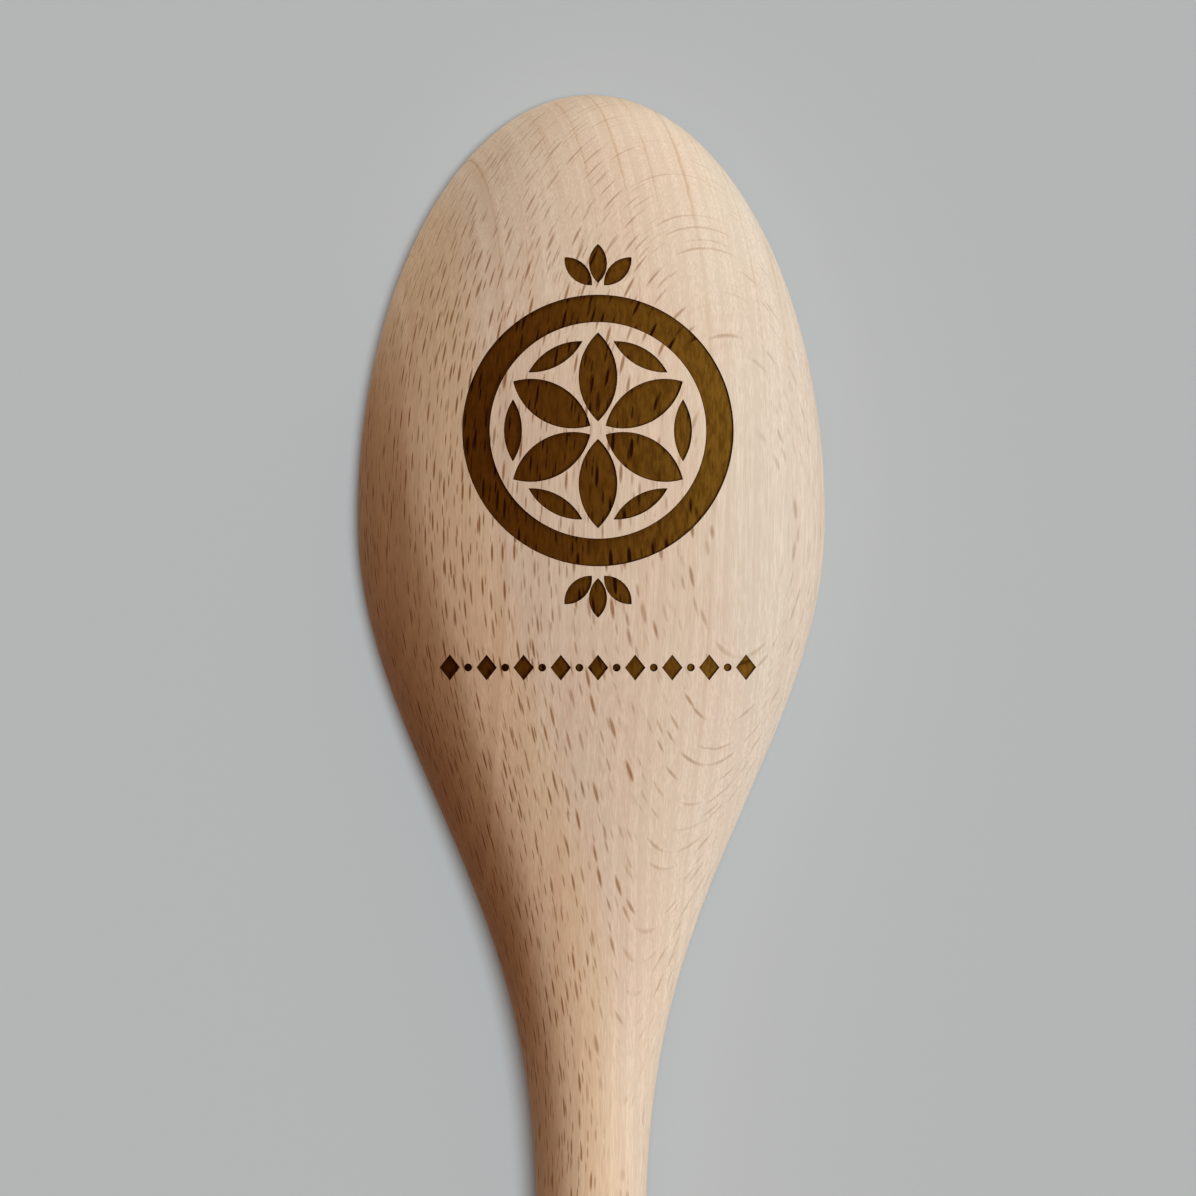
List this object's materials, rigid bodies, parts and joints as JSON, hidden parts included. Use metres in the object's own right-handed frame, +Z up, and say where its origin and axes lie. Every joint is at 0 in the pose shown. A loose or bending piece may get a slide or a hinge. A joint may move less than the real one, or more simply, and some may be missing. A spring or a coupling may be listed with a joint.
{
  "type": "wooden spoon",
  "caption": "Beech cooking spoon with an egg-shaped hollow bowl, a convex back, a long tapering shoulder and a round handle.",
  "frame": {"origin": "on the surface that the spoon lies on, under the middle of its length and width", "axes": "+Z up, out of the convex back; +Y along the spoon towards the tip of the bowl; +X across the bowl"},
  "size_m": [0.06, 0.3, 0.0185],
  "materials": {
    "beech": "bare fine-sanded beech, matt, with short darker ray flecks"
  },
  "bodies": {
    "root": {"spoon": "beech"}
  },
  "joints": []
}
